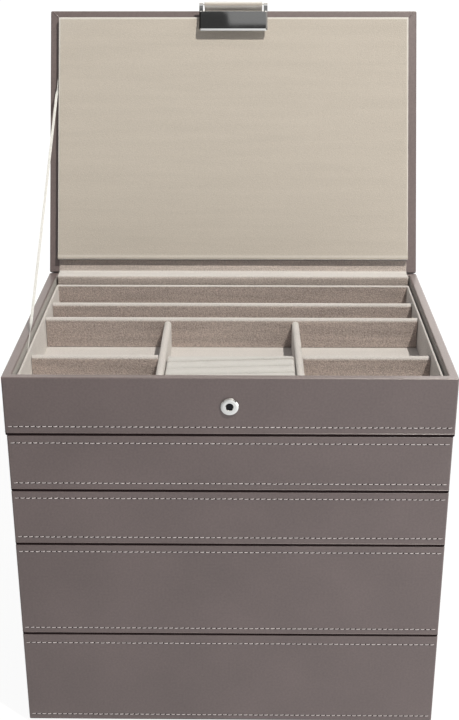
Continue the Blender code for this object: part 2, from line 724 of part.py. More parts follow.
def plaque(axis):
    """Bevelled plate on two ears, with its pin and the magnet in a pocket of its back."""
    half = PLAQUE_WIDTH / 2
    plate_top = -PLAQUE_CENTRE_DROP + PLAQUE_HEIGHT / 2
    bounds = (-half, half, -PLAQUE_CENTRE_DROP - PLAQUE_HEIGHT / 2, plate_top)
    loops = [rectangle(bounds, 0, PLAQUE_CORNER, 0),
             rectangle(bounds, 0, PLAQUE_CORNER, PLAQUE_THICK - PLAQUE_BEVEL_DEPTH),
             rectangle(bounds, PLAQUE_BEVEL, PLAQUE_CORNER, PLAQUE_THICK)]
    back = PLAQUE_THICK / 2 - PLAQUE_FORWARD
    stand_up = Matrix.Translation((0, back, 0)) @ Matrix.Rotation(RIGHT_ANGLE, 4, "X")
    plate = solid("plaque", moved(loops, stand_up), "polished_metal", axis)
    for side, sign in (("left", -1), ("right", 1)):
        ends = sorted((sign * half, sign * (half - EAR_WIDTH)))
        ear = solid(f"ear_{side}", ear_loops(*ends, plate_top), "polished_metal", axis, closed=True)
        combine(plate, ear, "UNION")
    keeper_z = -STUD_DROP - LID_GAP / 2 + PIN_DROP
    pocket_depth = KEEPER_THICK + FIT_GAP
    pocket = [(KEEPER_RADIUS + FIT_GAP, back - pocket_depth), (KEEPER_RADIUS + FIT_GAP, back + CUT_OVERRUN)]
    cutter = solid("keeper_pocket", turned_loops(pocket, TURN_STEPS), "magnet", axis)
    cutter.location = (0, 0, keeper_z)
    combine(plate, cutter, "DIFFERENCE")
    disc = [(KEEPER_RADIUS, back - KEEPER_THICK), (KEEPER_RADIUS, back)]
    keeper = solid("keeper_magnet", turned_loops(disc, TURN_STEPS), "magnet", axis)
    keeper.location = (0, 0, keeper_z)
    reach = half - PIN_END
    loops = moved(turned_loops([(PIN_RADIUS, -reach), (PIN_RADIUS, reach)], PIN_STEPS),
                  Matrix.Rotation(RIGHT_ANGLE, 4, "Z"))
    solid("plaque_pin", loops, "polished_metal", axis)


def build():
    clear_scene()
    layers = ((bottom_tray, DEEP_PITCH), (deep_tray, DEEP_PITCH), (lower_tray, SHALLOW_PITCH),
              (upper_tray, SHALLOW_PITCH), (top_tray, SHALLOW_PITCH))
    foot = PLINTH_DROP
    for make, pitch in layers:
        tray = Tray(make.__name__, foot, pitch)
        make(tray)
        foot = tray.rim
    hinge = empty("lid_hinge_axis", (0, BOX_DEPTH / 2, tray.rim + LID_GAP / 2), turn=-LID_OPEN_ANGLE)
    lid(hinge)
    fold_axis, loop_centre = strap(hinge)
    pin_axis = empty("plaque_pin_axis", (0, *loop_centre), fold_axis, turn=LID_OPEN_ANGLE - PLAQUE_LEAN)
    plaque(pin_axis)


build()
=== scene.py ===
"""Looks of the tiered jewelry box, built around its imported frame. Metres, Z up, front at -Y."""

import json
import math
import random

import bmesh
import bpy
from mathutils import Matrix, Vector, noise


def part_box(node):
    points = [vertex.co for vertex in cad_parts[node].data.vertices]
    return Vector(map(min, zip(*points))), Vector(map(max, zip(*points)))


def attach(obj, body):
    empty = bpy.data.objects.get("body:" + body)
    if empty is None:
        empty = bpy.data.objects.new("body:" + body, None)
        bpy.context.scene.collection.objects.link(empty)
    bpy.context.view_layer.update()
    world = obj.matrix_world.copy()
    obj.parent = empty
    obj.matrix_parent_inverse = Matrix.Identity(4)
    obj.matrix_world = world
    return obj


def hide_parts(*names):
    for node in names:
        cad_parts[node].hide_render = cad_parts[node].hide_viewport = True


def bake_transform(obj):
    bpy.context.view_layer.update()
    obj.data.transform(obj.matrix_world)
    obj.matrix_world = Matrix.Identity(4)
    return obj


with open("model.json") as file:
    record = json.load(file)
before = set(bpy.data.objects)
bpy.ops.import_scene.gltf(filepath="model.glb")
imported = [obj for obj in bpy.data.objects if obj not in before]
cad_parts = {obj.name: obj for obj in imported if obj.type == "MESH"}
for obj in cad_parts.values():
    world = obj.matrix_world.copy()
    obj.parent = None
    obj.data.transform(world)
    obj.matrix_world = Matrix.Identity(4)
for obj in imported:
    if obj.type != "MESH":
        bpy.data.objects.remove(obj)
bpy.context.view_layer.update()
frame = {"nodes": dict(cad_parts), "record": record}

MM = 0.001
RIGHT_ANGLE = math.pi / 2

# The lid's hinge and the top tray's rim, as the frame has them
JOINTS = {joint["name"]: joint for joint in frame["record"]["behaviour"]["joints"]}
HINGE = Vector(JOINTS["lid_hinge"]["pos_m"][1:])
LID_OPEN = math.radians(JOINTS["lid_hinge"]["range_deg"][1])
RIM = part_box("top_tray_case")[1].z

# Sizes that the solids have too. A place on the lid is its y and z from the hinge, with the lid shut.
FIT_GAP = 0.3 * MM
LINER_GAP = 1.0 * MM
WRAP_STEP = 0.8 * MM
LID_UNDERSIDE = 0.45 * MM
LID_FRONT = -180.0 * MM


def on_lid(y, z):
    """Row frame (y, z) of a place on the lid, with the lid open."""
    cosine, sine = math.cos(-LID_OPEN), math.sin(-LID_OPEN)
    return HINGE + Vector((y * cosine - z * sine, y * sine + z * cosine))


# Node trees


class Wiring:
    """Short calls for the nodes of a material or of the world."""

    def __init__(self, owner):
        owner.use_nodes = True
        self.tree = owner.node_tree

    def feed(self, socket, value):
        """Links a socket, or sets its value."""
        if isinstance(value, bpy.types.NodeSocket):
            self.tree.links.new(value, socket)
        else:
            socket.default_value = value

    def node(self, kind, settings=(), **inputs):
        """Node with its settings and inputs, which go by name or, as _0, by number."""
        made = self.tree.nodes.new("ShaderNode" + kind)
        for name, value in dict(settings).items():
            setattr(made, name, value)
        for name, value in inputs.items():
            key = int(name[1:]) if name[1:].isdigit() else name.replace("_", " ")
            self.feed(made.inputs[key], value)
        return made

    def math(self, operation, first, second=0.0):
        return self.node("Math", {"operation": operation}, _0=first, _1=second).outputs[0]

    def spread(self, value, low, high, out_low=0.0, out_high=1.0):
        """Value taken from the range low..high to out_low..out_high."""
        made = self.node("MapRange", {"clamp": True}, _0=value, _1=low, _2=high, _3=out_low, _4=out_high)
        return made.outputs[0]


# Middle part of a noise's range, where nearly all of it lies
NOISE_MIDDLE = (0.3, 0.7)


def tone(colour, share):
    """Colour at a share of its brightness, with the alpha that sockets want."""
    return tuple(min(1.0, channel * share) for channel in colour) + (1.0,)


class Finish(Wiring):
    """Principled material whose colour, roughness and bump come from nodes."""

    def __init__(self, name, roughness, **sockets):
        self.material = bpy.data.materials.new(name)
        super().__init__(self.material)
        self.shader = self.tree.nodes["Principled BSDF"]
        for socket, value in {"Roughness": roughness, **sockets}.items():
            self.shader.inputs[socket.replace("_", " ")].default_value = value
        self.place = self.node("TexCoord").outputs["Object"]

    def streaks(self, length, turn=(0, 0, 0)):
        """Object coordinates that draw a pattern out along turned axes."""
        made = self.node("Mapping", {"vector_type": "TEXTURE"}, Vector=self.place, Scale=length,
                         Rotation=turn)
        return made.outputs["Vector"]

    def noise(self, scale, detail=2.0, vector=None, distortion=0.0):
        """Noise of so many waves to the metre."""
        made = self.node("TexNoise", Vector=vector or self.place, Scale=scale, Detail=detail,
                         Distortion=distortion)
        return made.outputs["Fac"]

    def mottle(self, first, second, second_share, first_range=NOISE_MIDDLE):
        """A pattern and a noise, each stretched from its range, added up in shares that make 1."""
        large = self.spread(first, *first_range, 0.0, 1 - second_share)
        small = self.spread(second, *NOISE_MIDDLE, 0.0, second_share)
        return self.math("ADD", large, small)

    def blend(self, share, first, second):
        return self.node("Mix", {"data_type": "RGBA"}, _0=share, _6=first, _7=second).outputs[2]

    def toned(self, pattern, colour, low, high):
        """Colour that a pattern takes from its low to its high brightness."""
        return self.blend(pattern, tone(colour, low), tone(colour, high))

    def colour(self, value):
        self.feed(self.shader.inputs["Base Color"], value)

    def rough(self, value):
        self.feed(self.shader.inputs["Roughness"], value)

    def bump(self, height, distance, strength):
        made = self.node("Bump", Height=height, Distance=distance, Strength=strength)
        self.feed(self.shader.inputs["Normal"], made.outputs["Normal"])


# Materials


LEATHER = (0.148, 0.114, 0.115)
VELVET = (0.458, 0.388, 0.360)
# Light enough to partly paint the bounce light on the shaded inner walls
LINING_VELVET_AND_BOUNCE = (0.300, 0.248, 0.225)
HINGE_VELVET = (0.515, 0.450, 0.420)
ROLL_VELVET = (0.555, 0.522, 0.498)
LID_VELVET = (0.530, 0.486, 0.436)
SHEEN_TINT = (1.0, 0.98, 0.95, 1.0)

# Waves or cells to the metre
LEATHER_CLOUDS, LEATHER_SPECKS, LEATHER_WRINKLES, LEATHER_PEBBLES = 22.0, 800.0, 420.0, 1500.0
VELVET_FLECKS, VELVET_STROKES, VELVET_TUFTS = 1750.0, 170.0, 1700.0
METAL_SMUDGES, METAL_WAVES = 160.0, 45.0
CLOTH_FUZZ = 500.0

# How much longer the velvet's pattern is along its turned x, y and z axes
FLECK_LENGTH, FLECK_TURN = (2.6, 1.0, 0.9), (0.0, 0.6, 0.5)
STROKE_LENGTH = (14.0, 1.6, 0.9)
FLECK_RANGE = (0.32, 0.68)
# Painted sheen and painted light from above: how far their colour goes grey, and how much fleck contrast it
# keeps
PAINTED_LIGHT_GREY_SHARE = 0.7
PAINTED_LIGHT_CONTRAST_SHARE = 0.25


def leatherette(name, colour):
    """Fine pebble grain with a satin top coat."""
    look = Finish(name, roughness=0.40, Specular_IOR_Level=0.5, Coat_Weight=0.60, Coat_Roughness=0.30)
    clouds = look.noise(LEATHER_CLOUDS, detail=3.0)
    mottled = look.mottle(clouds, look.noise(LEATHER_SPECKS), second_share=0.55)
    look.colour(look.toned(mottled, colour, low=0.82, high=1.18))
    grain = look.node("TexVoronoi", {"feature": "DISTANCE_TO_EDGE"}, Vector=look.place, Scale=LEATHER_PEBBLES)
    pebble = look.spread(grain.outputs["Distance"], low=0.0, high=0.25)
    look.rough(look.spread(pebble, 0.0, 1.0, out_low=0.48, out_high=0.37))
    look.bump(look.math("ADD", pebble, look.noise(LEATHER_WRINKLES)), distance=0.03 * MM, strength=0.6)
    return look.material


def velvet(name, colour, contrast=0.42, sheen=0.35, glance=1.43, reach=(0.2, 0.7), relief=0.65 * MM,
           top=(0.12, 0.60)):
    """Short pile, brushed into flecks and faint strokes, with painted sheen and painted light from above.

    Its colour is painted greyer, and lighter by glance: as sheen where it is seen along the surface, over the
    range reach of Facing, and as light from above where it faces up, over the range top of the normal's Z.
    """
    look = Finish(name, roughness=0.95, Specular_IOR_Level=0.10, Sheen_Weight=sheen, Sheen_Roughness=0.55,
                  Sheen_Tint=SHEEN_TINT)
    fleck = look.noise(VELVET_FLECKS, vector=look.streaks(FLECK_LENGTH, FLECK_TURN), distortion=0.2)
    stroke = look.noise(VELVET_STROKES, vector=look.streaks(STROKE_LENGTH), distortion=0.4)
    pile = look.mottle(fleck, stroke, second_share=0.30, first_range=FLECK_RANGE)
    upright = look.toned(pile, colour, 1 - contrast, 1 + contrast)
    grey = tuple(channel + (colour[0] - channel) * PAINTED_LIGHT_GREY_SHARE for channel in colour)
    faint = contrast * PAINTED_LIGHT_CONTRAST_SHARE
    # Painted sheen and painted light from above: a greyer, lighter copy of the pile's colour
    painted_light_colour = look.toned(pile, grey, glance * (1 - faint), glance * (1 + faint))
    # Painted sheen where the velvet is seen along its surface, painted light from above where it faces up
    glancing = look.spread(look.node("LayerWeight", Blend=0.5).outputs["Facing"], *reach)
    normal = look.node("SeparateXYZ", _0=look.node("TexCoord").outputs["Normal"]).outputs["Z"]
    share = look.math("MAXIMUM", glancing, look.spread(normal, *top))
    look.colour(look.blend(share, upright, painted_light_colour))
    look.bump(look.math("ADD", fleck, look.noise(VELVET_TUFTS, detail=1.0)), relief, strength=0.7)
    return look.material


def polished(name, colour, roughness, wave=0.25):
    """Plated metal with faint smudges and waves."""
    look = Finish(name, roughness, Metallic=1.0)
    smudge = look.noise(METAL_SMUDGES, detail=3.0)
    look.colour(look.toned(smudge, colour, low=0.97, high=1.03))
    look.rough(look.spread(smudge, *NOISE_MIDDLE, out_low=roughness * 0.8, out_high=roughness * 1.3))
    look.bump(look.noise(METAL_WAVES, detail=1.0), distance=0.02 * MM, strength=wave)
    return look.material


def cloth(name, colour, scale=900.0, roughness=0.9):
    """Plain weave or fibre board, of so many threads to the metre."""
    look = Finish(name, roughness, Specular_IOR_Level=0.2)
    threads = look.node("TexWave", {"bands_direction": "DIAGONAL"}, Vector=look.place, Scale=scale,
                        Distortion=1.5, Detail=1.0).outputs["Fac"]
    fibre = look.mottle(threads, look.noise(CLOTH_FUZZ), second_share=0.5, first_range=(0.0, 1.0))
    look.colour(look.toned(fibre, colour, low=0.88, high=1.1))
    look.bump(fibre, distance=0.05 * MM, strength=0.6)
    return look.material


MATERIALS = {
    "leatherette": leatherette("leatherette", LEATHER),
    # Each velvet's glance, reach and top set its painted sheen and painted light from above; the lid velvet's
    # narrow reach paints a light line of sheen along the panel's rounded edges
    "velvet": velvet("velvet", VELVET),
    "lining_velvet_and_bounce": velvet("lining_velvet_and_bounce", LINING_VELVET_AND_BOUNCE, contrast=0.30, glance=1.20),
    "roll_velvet": velvet("roll_velvet", ROLL_VELVET, contrast=0.10, glance=1.15),
    "hinge_velvet": velvet("hinge_velvet", HINGE_VELVET, contrast=0.30, glance=1.40, top=(0.42, 0.85)),
    "lid_velvet": velvet("lid_velvet", LID_VELVET, contrast=0.08, sheen=0.20, glance=1.45,
                         reach=(0.045, 0.14), relief=0.15 * MM, top=(0.45, 0.90)),
    "base_cloth": cloth("base_cloth", (0.095, 0.082, 0.080)),
    "card": cloth("card", (0.42, 0.34, 0.25), 700.0),
    "polished_metal": polished("polished_metal", (0.80, 0.80, 0.79), 0.10),
    "mirror_plate": polished("mirror_plate", (0.82, 0.82, 0.81), 0.025, wave=0.02),
    "magnet": polished("magnet", (0.022, 0.022, 0.025), 0.20),
    "ribbon": cloth("ribbon", (0.78, 0.78, 0.77), 1600.0, 0.7),
    "thread": cloth("thread", (0.73, 0.69, 0.71), 2500.0, 0.8),
    # Near-black ovals, painted shade inside the needle holes
    "needle_hole_shade": cloth("needle_hole_shade", (0.02, 0.016, 0.016), 1500.0),
    # Near-black felt, painted shade for the recesses round the feet
    "painted_shade_felt": cloth("painted_shade_felt", (0.014, 0.007, 0.008), 1500.0),
}
SLOTS = {part["node"]: part["material_slot"] for part in frame["record"]["subparts"]}
FINISHES = {**SLOTS, "plaque": "mirror_plate"}
for node, item in frame["nodes"].items():
    item.data.materials.clear()
    item.data.materials.append(MATERIALS[FINISHES[node]])


# Mesh building


def link(name, data):
    """New object in the scene."""
    made = bpy.data.objects.new(name, data)
    bpy.context.scene.collection.objects.link(made)
    return made


def loft(shape, loops, closed=False):
    """Faces through loops of equally many points, which are a ring if closed and capped otherwise."""
    rows = [[shape.verts.new(point) for point in loop] for loop in loops]
    pairs = list(zip(rows, rows[1:])) + ([(rows[-1], rows[0])] if closed else [])
    for lower, upper in pairs:
        for here in range(len(lower)):
            there = (here + 1) % len(lower)
            shape.faces.new((lower[here], lower[there], upper[there], upper[here]))
    if not closed:
        shape.faces.new(list(reversed(rows[0])))
        shape.faces.new(rows[-1])


def finish_piece(name, shape, finish, sharp=40.0):
    """Object of a finished bmesh in the row frame, with edges over sharp degrees left crisp."""
    bmesh.ops.recalc_face_normals(shape, faces=shape.faces)
    mesh = bpy.data.meshes.new(name)
    shape.to_mesh(mesh)
    shape.free()
    mesh.shade_smooth()
    mesh.set_sharp_from_angle(angle=math.radians(sharp))
    mesh.materials.append(MATERIALS[finish])
    item = link(name, mesh)
    return item


def arc(centre, radius, start, end, steps):
    """Points on an arc between two angles in degrees."""
    angles = [math.radians(start + (end - start) * step / steps) for step in range(steps + 1)]
    return [centre + Vector((math.cos(angle), math.sin(angle))) * radius for angle in angles]


def oval(middle, first, second, sides):
    """Points round an ellipse that has first and second as its half axes."""
    turns = [math.tau * corner / sides for corner in range(sides)]
    return [middle + first * math.cos(turn) + second * math.sin(turn) for turn in turns]


def bend(start, corner, end, steps=8):
    """Points on a curve that leaves start for the corner and turns to end."""
    points = []
    for step in range(steps + 1):
        share = step / steps
        points.append(start.lerp(corner, share).lerp(corner.lerp(end, share), share))
    return points


def smooth(start, end, value):
    """Smooth step from 0 at start to 1 at end."""
    share = min(max((value - start) / (end - start), 0.0), 1.0)
    return share * share * (3 - 2 * share)


def domed(share):
    """Quarter round that rises from 0 to 1 as the share does."""
    return math.sqrt(max(0.0, 1 - (1 - min(1.0, share)) ** 2))


def refined(path, spacing):
    """Path with a point at least every spacing metres."""
    points = [path[0]]
    for before, after in zip(path, path[1:]):
        count = max(1, math.ceil((after - before).length / spacing))
        points += [before.lerp(after, step / count) for step in range(1, count + 1)]
    return points


# Rounded side edge of a band: how far in and up each point is, as shares of half the thickness
BAND_EDGE_SHARES = ((0.0, 0.0), (0.5, 0.8), (1.5, 1.0))
# Waves to the metre of a band's ripple
RIPPLES_ACROSS, RIPPLES_ALONG = 40, 60


def band(name, path, width, thickness, finish, ripple, columns):
    """Sheet of cloth along a path of (y, z) points, with soft side edges and a faint ripple."""
    shape = bmesh.new()
    half = width / 2
    rim, shoulder, flat = [(half - share_in * thickness / 2, share_up * thickness / 2)
                           for share_in, share_up in BAND_EDGE_SHARES]
    level = [(flat[0] * (2 * step / columns - 1), flat[1]) for step in range(columns + 1)]
    across = [(-rim[0], rim[1]), (-shoulder[0], shoulder[1]), *level, shoulder, rim]
    across += [(x, -side) for x, side in reversed(across[1:-1])]
    loops = []
    for index, point in enumerate(path):
        before, after = path[max(index - 1, 0)], path[min(index + 1, len(path) - 1)]
        along = (after - before).normalized()
        normal = Vector((-along.y, along.x))
        loop = []
        for x, side in across:
            spot = Vector((x * RIPPLES_ACROSS, point.x * RIPPLES_ALONG, point.y * RIPPLES_ALONG))
            place = point + normal * (side + ripple * noise.noise(spot))
            loop.append(Vector((x, place.x, place.y)))
        loops.append(loop)
    loft(shape, loops)
    return finish_piece(name, shape, finish)


# Stitching


STITCH_PITCH = 3.2 * MM
STITCH_CORNER = 1.5 * MM
STITCH_SWAY = 0.08 * MM
STITCH_TILT_DEGREES = (2, 10)
THREAD_LENGTH = 2.5 * MM
THREAD_LENGTH_SHARES = (0.92, 1.06)
THREAD_BOW = (0.02 * MM, 0.12 * MM)
THREAD_LIFT = 0.22 * MM
THREAD_HALF_WIDTH = 0.20 * MM
THREAD_HALF_HEIGHT = 0.17 * MM
THREAD_SIDES = 6
HOLE_HALF_LENGTH = 0.52 * MM
HOLE_HALF_WIDTH = 0.42 * MM
HOLE_SUNK = 0.10 * MM
HOLE_PROUD = 0.03 * MM
HOLE_SIDES = 8

# Places along a thread from its middle, with its girth and its rise there
THREAD_SHAPE_SHARES = ((-0.5, 0.45, -0.2), (-0.36, 0.85, 0.35), (-0.12, 1.0, 0.6), (0.12, 1.0, 0.6),
                       (0.36, 0.85, 0.35), (0.5, 0.45, -0.2))

# Rows of each tray: the first up from the wrap's lower edge, the second down from the rim
STITCH_ROWS = {
    "bottom_tray": (4.2 * MM, 5.9 * MM),
    "deep_tray": (4.0 * MM, 4.4 * MM),
    "lower_tray": (4.4 * MM, 4.4 * MM),
    "upper_tray": (4.4 * MM, 4.6 * MM),
    "top_tray": (4.5 * MM,),
}


def thread_loops(centre, axis, over, normal, length, bow):
    """Sections of a thread, which bows sideways and dips at both ends."""
    loops = []
    for share, girth, rise in THREAD_SHAPE_SHARES:
        # The bow runs from -1 at the ends to 1 in the middle
        sideways = over * bow * (1 - 8 * share * share)
        middle = centre + axis * (length * share) + normal * (THREAD_LIFT * rise) - sideways
        half_width = over * THREAD_HALF_WIDTH * girth
        half_height = normal * THREAD_HALF_HEIGHT * girth
        loops.append(oval(middle, half_width, half_height, THREAD_SIDES))
    return loops


def stitch_rows(name, body, rows, seed):
    """Threads, and near-black ovals painted as the shade of needle holes, along straight rows of (start, end,
    outward normal).
    """
    dice = random.Random(seed)
    threads, holes = bmesh.new(), bmesh.new()
    for start, end, normal in rows:
        run = end - start
        along = run.normalized()
        side = normal.cross(along)
        count = round(run.length / STITCH_PITCH)
        step = run / count
        for index in range(count):
            centre = start + step * (index + 0.5) + side * dice.uniform(-STITCH_SWAY, STITCH_SWAY)
            tilt = math.radians(dice.uniform(*STITCH_TILT_DEGREES))
            axis = along * math.cos(tilt) + side * math.sin(tilt)
            length = THREAD_LENGTH * dice.uniform(*THREAD_LENGTH_SHARES)
            bow = dice.uniform(*THREAD_BOW)
            loft(threads, thread_loops(centre, axis, normal.cross(axis), normal, length, bow))
            if index < count - 1:
                # Painted shade: a near-black oval where the thread goes into the leather
                edge = oval(centre + step / 2, along * HOLE_HALF_LENGTH, side * HOLE_HALF_WIDTH, HOLE_SIDES)
                loft(holes, [[point + normal * out for point in edge] for out in (-HOLE_SUNK, HOLE_PROUD)])
    made = [finish_piece(name + "_thread", threads, "thread"),
            finish_piece(name + "_needle_holes", holes, "needle_hole_shade")]
    for item in made:
        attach(item, body)


def round_rows(x, y, z):
    """Rows on the four sides of a tray at one height, which stop short of its corners."""
    near_x, near_y = x - STITCH_CORNER, y - STITCH_CORNER
    return [(Vector((-near_x, -y, z)), Vector((near_x, -y, z)), Vector((0, -1, 0))),
            (Vector((x, -near_y, z)), Vector((x, near_y, z)), Vector((1, 0, 0))),
            (Vector((near_x, y, z)), Vector((-near_x, y, z)), Vector((0, 1, 0))),
            (Vector((-x, near_y, z)), Vector((-x, -near_y, z)), Vector((-1, 0, 0)))]


def stitch_trays():
    """Seams of every tray, whose draws are seeded by its number."""
    for number, (tray, (rise, *drops)) in enumerate(STITCH_ROWS.items()):
        low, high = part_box(tray + "_case")
        wrap = low.z + (0.0 if tray == "bottom_tray" else WRAP_STEP)
        heights = [wrap + rise] + [high.z - drop for drop in drops]
        rows = [row for z in heights for row in round_rows(high.x, high.y, z)]
        stitch_rows(tray + "_stitching", tray, rows, number)


stitch_trays()


# Near-black felt as painted shade in the foot recesses, hems, and a lining whose light tone partly paints
# bounce light, round the trays


TRAY_CORNER = 1.6 * MM
CORNER_STEPS = 5
# Heights between which an edging's bowed face is at its fullest, as shares of the edging's height
FACE_SHARES = (0.3, 0.7)

# Edgings above each foot: name, finish, low and high edge, how far proud, thickness and bow of the face
EDGINGS = (
    # Near-black felt, painted shade that darkens the recess round each foot
    ("painted_shade_felt", "painted_shade_felt", 0.12 * MM, 1.50 * MM, 0.05 * MM, 1.0 * MM, 0.08 * MM),
    ("wrap_hem", "leatherette", 1.46 * MM, 1.96 * MM, 0.16 * MM, 0.6 * MM, 0.14 * MM),
)
LINING_THICK = 0.11 * MM
LINING_BEHIND = 0.3 * MM
LINING_LOW_DROP = 6.4 * MM
LINING_FACE_DROP = 1.1 * MM
LINING_HIGH_DROP = 0.7 * MM


def frame_loop(half_x, half_y, z):
    """Points round a tray at one height, with rounded corners."""
    points = []
    for quarter, (sign_x, sign_y) in enumerate(((1, 1), (-1, 1), (-1, -1), (1, -1))):
        middle = Vector((sign_x * (half_x - TRAY_CORNER), sign_y * (half_y - TRAY_CORNER)))
        for point in arc(middle, TRAY_CORNER, 90 * quarter, 90 * quarter + 90, CORNER_STEPS):
            points.append(Vector((point.x, point.y, z)))
    return points


def ring_piece(name, half_x, half_y, section, finish):
    """Closed ring round a tray, of a section whose points are (outward, height)."""
    shape = bmesh.new()
    loft(shape, [frame_loop(half_x + out, half_y + out, z) for out, z in section], closed=True)
    return finish_piece(name, shape, finish)


def foot_edgings():
    """Near-black felt as painted shade in the recess round each foot, and the folded hem of the wrap above
    it.
    """
    for tray in ("deep_tray", "lower_tray", "upper_tray", "top_tray"):
        case_low, case_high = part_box(tray + "_case")
        foot = case_low.z - FIT_GAP
        for name, finish, rise, top, proud, thick, bow in EDGINGS:
            low, high = foot + rise, foot + top
            face = [(0.0, low + (high - low) * share) for share in FACE_SHARES]
            section = [(-thick, low), (-bow, low), *face, (-bow, high), (-thick, high)]
            made = ring_piece(tray + "_" + name, case_high.x + proud, case_high.y + proud, section, finish)
            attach(made, tray)


def wall_lining():
    """Velvet on the inner side of the top tray's walls, above the liner, light enough that its tone partly
    paints the bounce light in the walls' shade.
    """
    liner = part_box("top_tray_liner")[0]
    section = [(LINING_BEHIND, RIM - LINING_LOW_DROP), (-LINING_THICK, RIM - LINING_LOW_DROP),
               (-LINING_THICK, RIM - LINING_FACE_DROP), (LINING_BEHIND, RIM - LINING_HIGH_DROP)]
    made = ring_piece("wall_lining", LINER_GAP - liner.x, LINER_GAP - liner.y, section, "lining_velvet_and_bounce")
    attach(made, "top_tray")


foot_edgings()
wall_lining()


# Lid panel


PANEL_HALF_WIDTH = 119.8 * MM
PANEL_NEAR = 8.6 * MM
PANEL_FAR = 174.6 * MM
PANEL_MIDDLE = (PANEL_NEAR + PANEL_FAR) / 2
PANEL_HALF_DEPTH = (PANEL_FAR - PANEL_NEAR) / 2
PANEL_BACK = LID_UNDERSIDE - 0.35 * MM
PANEL_THICK = 4.5 * MM
PANEL_COLUMNS = 96
PANEL_ROWS = 68
PANEL_CROWDING = 1.5
PANEL_ROUND = 1.3 * MM
PANEL_FACE_ROUND_SHARE = 0.20
PANEL_SEAM_ROUND_SHARE = 0.08
PANEL_BACK_ROUND_SHARE = 0.18
PANEL_EDGE_SHARE = 0.25

# Rolled seam near the hinge, and the shallow dips of the foam
SEAM_REACH = 5.0 * MM
SEAM_ROLL = 0.45 * MM
SEAM_ROLL_RANGE = (2.6 * MM, 1.4 * MM)
DIP_DEPTH = 0.10 * MM
DIP_WAVES = 22
DIP_SEED = 3.1
DIP_FREE_RUN = 12 * MM


def crowded(step, steps):
    """Place from -1 to 1 of a step, with the steps closer together towards both ends."""
    share = -1 + 2 * step / steps
    return math.copysign(1 - (1 - abs(share)) ** PANEL_CROWDING, share)


def panel_height(x, y, edge, is_face):
    """Height of the panel's face or back on the lid, where the nearest edge is so far off."""
    if edge <= 0:
        return PANEL_BACK - PANEL_THICK * PANEL_EDGE_SHARE
    full = domed(edge / PANEL_ROUND)
    if not is_face:
        return PANEL_BACK - PANEL_THICK * PANEL_BACK_ROUND_SHARE * (1 - full)
    from_seam = y - PANEL_NEAR
    soft = PANEL_FACE_ROUND_SHARE if from_seam > SEAM_REACH else PANEL_SEAM_ROUND_SHARE
    roll = SEAM_ROLL * smooth(*SEAM_ROLL_RANGE, from_seam)
    dip = DIP_DEPTH * noise.noise(Vector((x * DIP_WAVES, y * DIP_WAVES, DIP_SEED)))
    dip *= min(1.0, edge / DIP_FREE_RUN)
    return PANEL_BACK - PANEL_THICK * (1 - soft + soft * full) - dip - roll


def panel_grid(is_face):
    """Rows of points of the panel's face or back, from the hinge to the front."""
    grid = []
    for row in range(PANEL_ROWS + 1):
        deep = crowded(row, PANEL_ROWS)
        y = PANEL_MIDDLE + deep * PANEL_HALF_DEPTH
        line = []
        for column in range(PANEL_COLUMNS + 1):
            x = crowded(column, PANEL_COLUMNS) * PANEL_HALF_WIDTH
            edge = min(PANEL_HALF_WIDTH - abs(x), PANEL_HALF_DEPTH - abs(deep) * PANEL_HALF_DEPTH)
            place = on_lid(-y, panel_height(x, y, edge, is_face))
            line.append(Vector((x, place.x, place.y)))
        grid.append(line)
    return grid


def lid_panel():
    """Velvet stretched over foam: soft edges, a rolled seam near the hinge and an almost flat face."""
    shape = bmesh.new()
    face_rows = [[shape.verts.new(point) for point in line] for line in panel_grid(True)]
    back_rows = []
    for row, line in enumerate(panel_grid(False)):
        on_edge = row in (0, PANEL_ROWS)
        back_rows.append([face_rows[row][column] if on_edge or column in (0, PANEL_COLUMNS)
                          else shape.verts.new(point) for column, point in enumerate(line)])
    for mesh_rows in (face_rows, back_rows):
        for lower, upper in zip(mesh_rows, mesh_rows[1:]):
            for column in range(PANEL_COLUMNS):
                shape.faces.new((lower[column], lower[column + 1], upper[column + 1], upper[column]))
    panel = finish_piece("lid_panel", shape, "lid_velvet", sharp=60.0)
    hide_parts("lid_pad")
    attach(panel, "lid")


lid_panel()


# Mitre folds of the lid's border


FOLD_HEIGHT = LID_UNDERSIDE - 0.02 * MM
FOLD_OUTER_INSET = 1.6 * MM
FOLD_OUTER_Y = -179.6 * MM
FOLD_INNER_X = 120.3 * MM
FOLD_INNER_Y = -175.2 * MM
FOLD_HALF_WIDTH = 0.5 * MM
FOLD_HALF_HEIGHT = 0.3 * MM
FOLD_SWAY = 0.2 * MM
FOLD_SWAY_RADIANS = 7
FOLD_SIDES = 8
# Places along a fold, with its girth there
FOLD_SHAPE_SHARES = ((0.0, 0.3), (0.15, 1.0), (0.5, 0.85), (0.85, 1.0), (1.0, 0.3))


def mitre_folds():
    """Folds of the leatherette across the front corners of the lid's border."""
    outer_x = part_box("lid_board")[1].x - FOLD_OUTER_INSET
    shape = bmesh.new()
    for side in (-1, 1):
        start = Vector((side * outer_x, FOLD_OUTER_Y, FOLD_HEIGHT))
        end = Vector((side * FOLD_INNER_X, FOLD_INNER_Y, FOLD_HEIGHT))
        along = (end - start).normalized()
        over = Vector((-along.y, along.x, 0.0))
        loops = []
        for share, girth in FOLD_SHAPE_SHARES:
            middle = start.lerp(end, share) + over * FOLD_SWAY * math.sin(share * FOLD_SWAY_RADIANS)
            down = Vector((0, 0, -FOLD_HALF_HEIGHT * girth))
            ring = oval(middle, over * FOLD_HALF_WIDTH * girth, down, FOLD_SIDES)
            loops.append([Vector((point.x, *on_lid(point.y, point.z))) for point in ring])
        loft(shape, loops)
    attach(finish_piece("mitre_folds", shape, "leatherette"), "lid")


mitre_folds()


# Ring rolls


